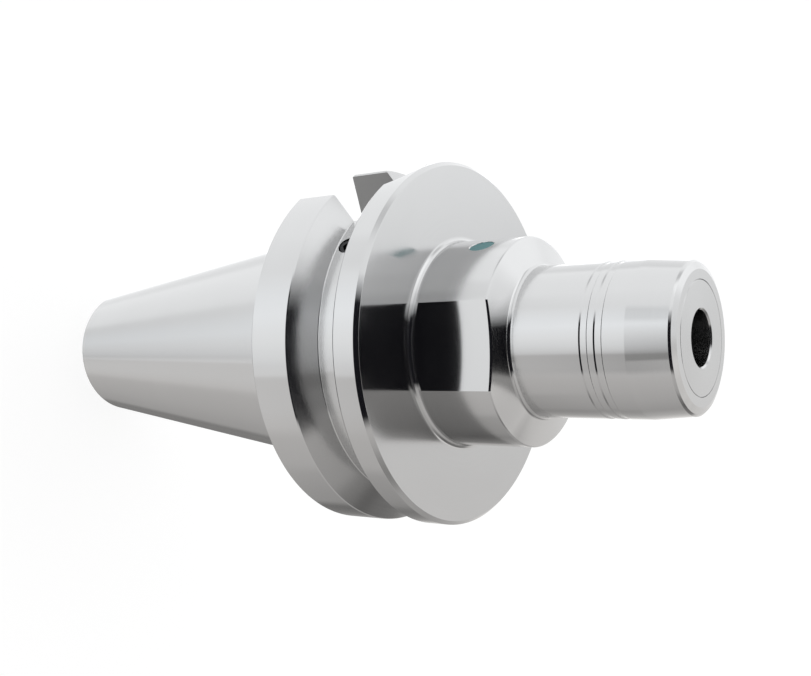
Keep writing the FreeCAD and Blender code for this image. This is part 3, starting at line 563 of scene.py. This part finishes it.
def metal(name, grey, roughness, anisotropy=0.0, marks=0.0, turned=True):
    """Bare steel. Turned steel has fine rings about the axis, which spread its reflections across them."""
    material, nodes, shader = start_material(name, 1.0)
    spot = nodes.add("ShaderNodeTexCoord").outputs["Object"]
    cloud = nodes.noise(spot, CLOUD_SCALE, detail=3.0)
    if turned:
        grain = nodes.noise(ring_position(nodes, spot), RING_SCALE, detail=4.0)
        shader.inputs["Anisotropic"].default_value = anisotropy
        shader.inputs["Anisotropic Rotation"].default_value = ACROSS_THE_RINGS
        along = nodes.add("ShaderNodeTangent", direction_type="RADIAL", axis="Z")
        nodes.wire(along.outputs[0], shader.inputs["Tangent"])
    else:
        grain = nodes.noise(spot, GRAIN_SCALE, detail=4.0)
    both = nodes.product(nodes.math("ADD", grain, cloud), 0.5)
    smoothest = roughness * (1 - ROUGHNESS_PLAY)
    roughest = roughness * (1 + ROUGHNESS_PLAY)
    nodes.wire(nodes.spread(both, NOISE_LOW, NOISE_HIGH, smoothest, roughest), shader.inputs["Roughness"])
    tone = nodes.spread(both, NOISE_LOW, NOISE_HIGH, 1 - TONE_PLAY, 1 + TONE_PLAY)
    nodes.wire(nodes.scaled((grey, grey, grey), tone), shader.inputs["Base Color"])
    if marks:
        nodes.wire(nodes.bump(grain, marks, MARK_DEPTH), shader.inputs["Normal"])
    return material


def coated(name, colour, roughness, metallic=0.0):
    """A painted, blackened, rubber or plastic surface with a fine grain."""
    material, nodes, shader = start_material(name, metallic)
    spot = nodes.add("ShaderNodeTexCoord").outputs["Object"]
    grain = nodes.noise(spot, COAT_SCALE, detail=5.0)
    smoothest = roughness - COAT_SMOOTHER
    roughest = roughness + COAT_ROUGHER
    nodes.wire(nodes.spread(grain, NOISE_LOW, NOISE_HIGH, smoothest, roughest), shader.inputs["Roughness"])
    tone = nodes.spread(grain, NOISE_LOW, NOISE_HIGH, 1 - COAT_TONE_PLAY, 1 + COAT_TONE_PLAY)
    nodes.wire(nodes.scaled(colour, tone), shader.inputs["Base Color"])
    nodes.wire(nodes.bump(grain, COAT_STRENGTH, COAT_DEPTH), shader.inputs["Normal"])
    return material


FINISHES = {
    "ground_steel": metal("ground_steel", grey=0.56, roughness=0.11, anisotropy=0.95),
    "flat_steel": metal("flat_steel", grey=0.56, roughness=0.1, turned=False),
    "groove_steel": metal("groove_steel", grey=0.5, roughness=0.14, anisotropy=0.9),
    "slot_steel": metal("slot_steel", grey=0.27, roughness=0.32, turned=False, marks=0.1),
    "sleeve_steel": metal("sleeve_steel", grey=0.55, roughness=0.17, anisotropy=0.9),
    "piston_steel": metal("piston_steel", grey=0.58, roughness=0.12, turned=False),
    "ball_steel": metal("ball_steel", grey=0.64, roughness=0.06, turned=False),
    "plug_steel": metal("plug_steel", grey=0.5, roughness=0.28, turned=False, marks=0.2),
    "black_steel": coated("black_steel", (0.03, 0.03, 0.032), roughness=0.38, metallic=0.6),
    "cap_teal": coated("cap_teal", (0.05, 0.19, 0.2), roughness=0.45),
    "seal_rubber": coated("seal_rubber", (0.02, 0.02, 0.02), roughness=0.6),
    "backup_plastic": coated("backup_plastic", (0.75, 0.74, 0.7), roughness=0.5),
}

# The body's own: turned and ground, but milled on the flat and in the drive slots, and only turned
# in the V groove
BODY_FINISHES = ["ground_steel", "flat_steel", "slot_steel", "groove_steel"]
GROUND, ON_FLAT, IN_SLOT, IN_GROOVE = range(len(BODY_FINISHES))


def dress_solids():
    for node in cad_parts.values():
        for place in node.material_slots:
            place.material = FINISHES[place.material.name]


# Chuck body: a finer copy of the turned form, with broken edges, slots, bores and the M24 thread


def rounded_outline(corners):
    """Replaces each corner (radius, height, rounding) of a half section by an arc of that rounding."""
    points = []
    count = len(corners)
    for index in range(count):
        r, z, rounding = corners[index]
        here = Vector((r, z))
        if not rounding:
            points.append(here)
            continue
        before = Vector(corners[index - 1][:2]) - here
        after = Vector(corners[(index + 1) % count][:2]) - here
        half_turn = (math.pi - before.angle(after)) / 2
        reach = rounding * math.tan(half_turn)
        start = here + before.normalized() * reach
        end = here + after.normalized() * reach
        toward = (before.normalized() + after.normalized()).normalized()
        centre = here + toward * rounding / math.cos(half_turn)
        arms = (start - centre, end - centre)
        sweep = arms[0].angle_signed(arms[1])
        for span in range(CORNER_SPANS + 1):
            turned_arm = arms[0].copy()
            turned_arm.rotate(Matrix.Rotation(-sweep * span / CORNER_SPANS, 2))
            points.append(centre + turned_arm)
    return points


def ring_points(height, radius_of):
    """One ring of points at a height, whose radius may change with the angle."""
    ring = []
    for index in range(AROUND):
        angle = 2 * math.pi * index / AROUND
        r = radius_of(angle) * MM
        ring.append((r * math.cos(angle), r * math.sin(angle), height * MM))
    return ring


def round_ring(radius, height):
    return ring_points(height, lambda angle: radius)


def mesh_of_rings(name, rings):
    """A closed tube of rings: the last ring joins the first."""
    vertices = [point for ring in rings for point in ring]
    faces = []
    count = len(rings)
    for row in range(count):
        below = row * AROUND
        above = ((row + 1) % count) * AROUND
        for index in range(AROUND):
            following = (index + 1) % AROUND
            faces.append((below + index, below + following, above + following, above + index))
    mesh = bpy.data.meshes.new(name)
    mesh.from_pydata(vertices, [], faces)
    return mesh


def groove_corners():
    """The V groove: its two flanks, 60 degrees apart, with their broken outer edges."""
    back = GROOVE_CENTRE - GROOVE_HALF
    front = GROOVE_CENTRE + GROOVE_HALF
    break_radius = FLANGE_RADIUS - GROOVE_BREAK_DEPTH
    return [
        (FLANGE_RADIUS, back - GROOVE_BREAK, GROOVE_BREAK_ROUNDING),
        (break_radius, back + GROOVE_BREAK / 2, GROOVE_BREAK_ROUNDING),
        (GROOVE_FLOOR, back + GROOVE_FLANK, GROOVE_FILLET),
        (GROOVE_FLOOR, front - GROOVE_FLANK, GROOVE_FILLET),
        (break_radius, front - GROOVE_BREAK / 2, GROOVE_BREAK_ROUNDING),
        (FLANGE_RADIUS, front + GROOVE_BREAK, GROOVE_BREAK_ROUNDING),
    ]


def ring_corners():
    """The two shallow rings of the nose, with 45 degree flanks."""
    corners = []
    front = NOSE_TAPER_START - RING_INSET
    for ring_front in (front - RING_WIDTH - RING_GAP, front):
        ring_back = ring_front - RING_WIDTH
        corners += [
            (NOSE_RADIUS, ring_back, RING_ROUNDING),
            (NOSE_RADIUS - RING_DEPTH, ring_back + RING_DEPTH, RING_ROUNDING),
            (NOSE_RADIUS - RING_DEPTH, ring_front - RING_DEPTH, RING_ROUNDING),
            (NOSE_RADIUS, ring_front, RING_ROUNDING),
        ]
    return corners


def outer_corners():
    """The outside from the mouth of the pull stud hole to the front of the nose."""
    bevel_radius = NOSE_TIP_RADIUS - NOSE_BREAK
    return [
        (PILOT_RADIUS + PILOT_BREAK, 0.0, END_ROUNDING),
        (END_RADIUS - END_BREAK, 0.0, END_ROUNDING),
        (END_RADIUS + END_BREAK_SPREAD, END_BREAK, END_ROUNDING),
        (GAUGE_RADIUS, GAUGE, GAUGE_ROUNDING),
        (GAUGE_RADIUS, GAUGE + GAUGE_LAND, RELIEF_ROUNDING),
        (NECK_RADIUS, GAUGE + GAUGE_LAND + NECK_RELIEF, RELIEF_ROUNDING),
        (NECK_RADIUS, FLANGE_BACK, NECK_FILLET),
        (FLANGE_RADIUS - BACK_RIM_BREAK, FLANGE_BACK, BACK_RIM_ROUNDING),
        (FLANGE_RADIUS, FLANGE_BACK + BACK_RIM_BREAK, BACK_RIM_ROUNDING),
        *groove_corners(),
        (FLANGE_RADIUS, FLANGE_FRONT - FRONT_RIM_BREAK, FRONT_RIM_ROUNDING),
        (FLANGE_RADIUS - FRONT_RIM_BREAK, FLANGE_FRONT, FRONT_RIM_ROUNDING),
        (HUB_RADIUS, FLANGE_FRONT, HUB_ROOT_FILLET),
        (HUB_RADIUS, HUB_EDGE - HUB_BREAK, HUB_BREAK_ROUNDING),
        (HUB_RADIUS - HUB_BREAK, HUB_EDGE, HUB_BREAK_ROUNDING),
        (NOSE_RADIUS, HUB_FACE, NOSE_ROOT_FILLET),
        *ring_corners(),
        (NOSE_RADIUS, NOSE_TAPER_START, NOSE_TAPER_ROUNDING),
        (NOSE_TIP_RADIUS, NOSE_FRONT - BEVEL_DROP - NOSE_BREAK, NOSE_BREAK_ROUNDING),
        (bevel_radius, NOSE_FRONT - BEVEL_DROP, NOSE_BREAK_ROUNDING),
        (bevel_radius - BEVEL_WIDTH, NOSE_FRONT, BEVEL_ROUNDING),
    ]


def inner_corners():
    """The inside from the front of the nose down to the drill tip of the pull stud hole."""
    return [
        (COLLAR_RADIUS, NOSE_FRONT, 0.0),
        (COLLAR_RADIUS, COLLAR_BACK, 0.0),
        (SLEEVE_RADIUS, COLLAR_BACK, 0.0),
        (SLEEVE_RADIUS, SLEEVE_BACK, 0.0),
        (STOP_RADIUS, SLEEVE_BACK, 0.0),
        (STOP_RADIUS, STOP_BACK, 0.0),
        (CHANNEL_RADIUS, STOP_BACK, 0.0),
        (CHANNEL_RADIUS, DRILL_TIP, 0.0),
        (STUD_CREST, STUD_DEPTH, 0.0),
    ]


def thread_depth(height, angle):
    """How deep the thread is at a point of the wall, from 0 on its crest to 1 on its root."""
    turns = height / STUD_PITCH + angle / (2 * math.pi)
    beside = abs(turns % 1.0 - 0.5) * STUD_PITCH
    return max(0.0, min(1.0, (FLANK_OUTER_EDGE - beside) / THREAD_FLANK))


def stud_thread_rings():
    """The wall of the pull stud hole, from its inner end down to the pilot, with its thread."""
    top = STUD_DEPTH - THREAD_ROOM
    bottom = PILOT_DEPTH + THREAD_ROOM
    rows = int((top - bottom) / STUD_PITCH * ROWS_A_TURN)
    rings = []
    for row in range(rows + 1):
        height = top - (top - bottom) * row / rows
        run_out = min(1.0, (height - bottom) / THREAD_RUN_OUT, (top - height) / THREAD_RUN_OUT)
        depth = (STUD_ROOT - STUD_CREST) * run_out

        def radius_of(angle, height=height, depth=depth):
            return STUD_CREST + depth * thread_depth(height, angle)

        rings.append(ring_points(height, radius_of))
    return rings


def turned_body():
    """The whole half section turned about the axis: outside, inside, thread and pilot."""
    rings = [round_ring(point.x, point.y) for point in rounded_outline(outer_corners() + inner_corners())]
    rings += stud_thread_rings()
    rings.append(round_ring(STUD_CREST, PILOT_DEPTH))
    rings.append(round_ring(PILOT_RADIUS, PILOT_DEPTH))
    rings.append(round_ring(PILOT_RADIUS, PILOT_BREAK))
    return mesh_of_rings("chuck_body_turned", rings)


def add_body_finishes(mesh):
    for material in BODY_FINISHES:
        mesh.materials.append(FINISHES[material])


def cutter_mesh(name, loops, finish=GROUND):
    """A closed solid through loops of points, in millimetres, its ends closed by flat faces.

    The faces that it cuts take the finish, one of the body's own.
    """
    size = len(loops[0])
    vertices = [Vector(point) * MM for loop in loops for point in loop]
    faces = [tuple(range(size))[::-1], tuple(range(len(vertices) - size, len(vertices)))]
    for row in range(len(loops) - 1):
        for index in range(size):
            following = (index + 1) % size
            low = row * size
            high = low + size
            faces.append((low + index, low + following, high + following, high + index))
    mesh = bpy.data.meshes.new(name)
    mesh.from_pydata(vertices, [], faces)
    work = bmesh.new()
    work.from_mesh(mesh)
    bmesh.ops.triangulate(work, faces=[face for face in work.faces if len(face.verts) > 4])
    bmesh.ops.recalc_face_normals(work, faces=work.faces)
    for face in work.faces:
        face.material_index = finish
    work.to_mesh(mesh)
    work.free()
    add_body_finishes(mesh)
    return mesh


def slot_outline(grow):
    """The slot's outline in width and height, grown outward by a distance."""
    half = SLOT_HALF + grow
    centre = SLOT_END - SLOT_HALF
    start = FLANGE_BACK - SLOT_OVER_CUT
    points = [(half, start), (half, centre)]
    for index in range(1, SLOT_SPANS):
        angle = math.pi * index / SLOT_SPANS
        points.append((half * math.cos(angle), centre + half * math.sin(angle)))
    points += [(-half, centre), (-half, start)]
    return points


def surface_reach(width):
    """How far out the flange's surface is at a distance beside the slot's middle."""
    return math.sqrt(FLANGE_RADIUS ** 2 - width ** 2)


def slot_cutters(side):
    """The slot, and the breaks of its edges on the rim and on the back of the flange."""
    outline = slot_outline(0.0)
    walls = [[(side * x, side * reach, z) for x, z in outline] for reach in (SLOT_FLOOR, PAST_FLANGE)]
    rim_loops = []
    back_loops = []
    for lift in (-SLOT_BREAK, SLOT_BREAK):
        grow = lift + SLOT_BREAK
        rim_loop = []
        for (x, z), (inner_x, _) in zip(slot_outline(grow), outline):
            rim_loop.append((side * x, side * (surface_reach(inner_x) + lift), z))
        rim_loops.append(rim_loop)
        wide = SLOT_HALF + grow
        floor = SLOT_FLOOR - grow
        square = [(wide, PAST_FLANGE), (-wide, PAST_FLANGE), (-wide, floor), (wide, floor)]
        back_loops.append([(side * x, side * y, FLANGE_BACK - lift) for x, y in square])
    return [
        cutter_mesh("slot", walls, IN_SLOT),
        cutter_mesh("slot_rim_break", rim_loops),
        cutter_mesh("slot_back_break", back_loops),
    ]


def flat_cutters():
    """The milled flat, a box turned about the axis, and the break of its curved front edge."""
    turn = Matrix.Rotation(FLAT_ANGLE, 2)
    half_box = HUB_RADIUS / 2
    corners = [
        (FLAT_DISTANCE, -half_box),
        (PAST_FLAT, -half_box),
        (PAST_FLAT, half_box),
        (FLAT_DISTANCE, half_box),
    ]
    box = [turn @ Vector(corner) for corner in corners]
    mill = [[(*corner, z) for corner in box] for z in (FLAT_START, HUB_FACE + OVER_CUT)]
    half_width = math.sqrt(HUB_RADIUS ** 2 - FLAT_DISTANCE ** 2)
    slope = (HUB_FACE - HUB_EDGE) / (HUB_RADIUS - NOSE_RADIUS)
    break_loops = []
    for index in range(FLAT_SPANS + 1):
        width = half_width * (2 * index / FLAT_SPANS - 1)
        edge = HUB_FACE - slope * (math.hypot(FLAT_DISTANCE, width) - NOSE_RADIUS)
        wedge = [
            (FLAT_DISTANCE + OVER_CUT, edge - FLAT_BREAK - OVER_CUT),
            (FLAT_DISTANCE - FLAT_BREAK - OVER_CUT, edge + OVER_CUT),
            (FLAT_DISTANCE + OVER_CUT, edge + OVER_CUT),
        ]
        break_loops.append([(*(turn @ Vector((distance, width))), height) for distance, height in wedge])
    return [cutter_mesh("flat", mill, ON_FLAT), cutter_mesh("flat_break", break_loops)]


def stepped(start, *parts):
    """A bore's profile from pairs of a part's end and radius, with a short step between the parts."""
    profile = []
    for end, radius in parts:
        profile += [(start, radius), (end, radius)]
        start = end + STEP
    return profile


def bore_cutter(name, start, direction, profile):
    """A round hole: the profile has pairs of the distance from the start and the radius."""
    turn = Vector(direction).to_track_quat("Z", "Y")
    loops = []
    for distance, radius in profile:
        loop = []
        for index in range(BORE_SPANS):
            angle = 2 * math.pi * index / BORE_SPANS
            local = Vector((radius * math.cos(angle), radius * math.sin(angle), distance))
            loop.append(Vector(start) + turn @ local)
        loops.append(loop)
    return cutter_mesh(name, loops)


def outward(degrees):
    return Vector((math.cos(math.radians(degrees)), math.sin(math.radians(degrees)), 0.0))


def upward(height):
    return Vector((0, 0, height))


def hub_bore_cutters():
    """The pressure cylinder, the plug's hole and the bleed bore, all at one height in the hub."""
    middle = upward(PRESS_HEIGHT)
    beside = outward(PRESS_ANGLE) * PRESS_OFFSET + middle
    pressure = stepped(
        PRESS_BLIND_END,
        (PRESS_SHOULDER, PISTON_RADIUS),
        (PRESS_SEAT, PRESS_THREAD_RADIUS),
        (PAST_HUB, PRESS_MOUTH_RADIUS),
    )
    plug = stepped(PLUG_SEAT, (PAST_HUB, PLUG_RADIUS))
    bleed = stepped(
        BLEED_SEAT,
        (BLEED_THREAD_START, BLEED_BALL_RADIUS),
        (CAP_SEAT, BLEED_THREAD_RADIUS),
        (CAP_BREAK_START, CAP_RADIUS),
    )
    bleed.append((CAP_BREAK_END, CAP_MOUTH_RADIUS))
    return [
        bore_cutter("pressure_bore", beside, outward(PRESS_ANGLE + 90), pressure),
        bore_cutter("plug_bore", middle, outward(PRESS_ANGLE - PLUG_SWING), plug),
        bore_cutter("bleed_bore", middle, outward(BLEED_ANGLE), bleed),
    ]


def coolant_cutters(angle):
    """One slanted duct from the groove floor and one inlet in the back of the flange."""
    out = outward(angle)
    slanted = out * math.cos(COOLANT_TILT) + upward(math.sin(COOLANT_TILT))
    mouth = out * GROOVE_FLOOR + upward(GROOVE_CENTRE)
    duct = stepped(
        COOLANT_INNER_END,
        (COOLANT_SEAT - STEP, COOLANT_RADIUS),
        (COOLANT_OUTER_END, COOLANT_SCREW_RADIUS),
    )
    foot = out * INLET_REACH + upward(FLANGE_BACK)
    inlet = [(-OVER_CUT, COOLANT_SCREW_RADIUS + INLET_BREAK)]
    inlet += stepped(INLET_BREAK, (INLET_DEPTH, COOLANT_SCREW_RADIUS), (INLET_END, INLET_RADIUS))
    return [
        bore_cutter("coolant_bore", mouth, slanted, duct),
        bore_cutter("inlet_bore", foot, (0, 0, 1), inlet),
    ]


def settle(obj):
    """Makes the modifiers' result the object's own mesh."""
    graph = bpy.context.evaluated_depsgraph_get()
    result = bpy.data.meshes.new_from_object(obj.evaluated_get(graph))
    obj.modifiers.clear()
    obj.data = result


def cut(obj, mesh):
    cutter = link(bpy.data.objects.new("cutter", mesh))
    modifier = obj.modifiers.new("cut", "BOOLEAN")
    modifier.operation = "DIFFERENCE"
    modifier.object = cutter
    modifier.solver = "MANIFOLD"
    settle(obj)
    bpy.data.objects.remove(cutter)


def finish_normals(obj):
    """Smooth shading between sharp creases."""
    obj.data.shade_smooth()
    obj.data.set_sharp_from_angle(angle=math.radians(CREASE))
    modifier = obj.modifiers.new("normals", "WEIGHTED_NORMAL")
    modifier.keep_sharp = True
    modifier.weight = 100
    settle(obj)


def finish_groove(mesh):
    """Gives the flanks of the V groove their own finish."""
    margin = 0.1
    for face in mesh.polygons:
        reach = face.center.xy.length / MM
        beside = abs(face.center.z / MM - GROOVE_CENTRE)
        if GROOVE_FLOOR + margin < reach < FLANGE_RADIUS - margin and beside < GROOVE_HALF:
            face.material_index = IN_GROOVE


def build_body():
    body = link(bpy.data.objects.new("chuck_body_finished", turned_body()))
    work = bmesh.new()
    work.from_mesh(body.data)
    bmesh.ops.recalc_face_normals(work, faces=work.faces)
    work.to_mesh(body.data)
    work.free()
    add_body_finishes(body.data)
    finish_groove(body.data)
    cutters = slot_cutters(1) + slot_cutters(-1) + flat_cutters() + hub_bore_cutters()
    cutters += coolant_cutters(COOLANT_ANGLE) + coolant_cutters(COOLANT_ANGLE + 180)
    for mesh in cutters:
        cut(body, mesh)
    finish_normals(body)
    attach(body, "chuck")
    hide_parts("chuck_body")


place_camera()
light_world()
lay_floor()
dress_solids()
build_body()
bpy.context.scene.view_settings.view_transform = "Standard"
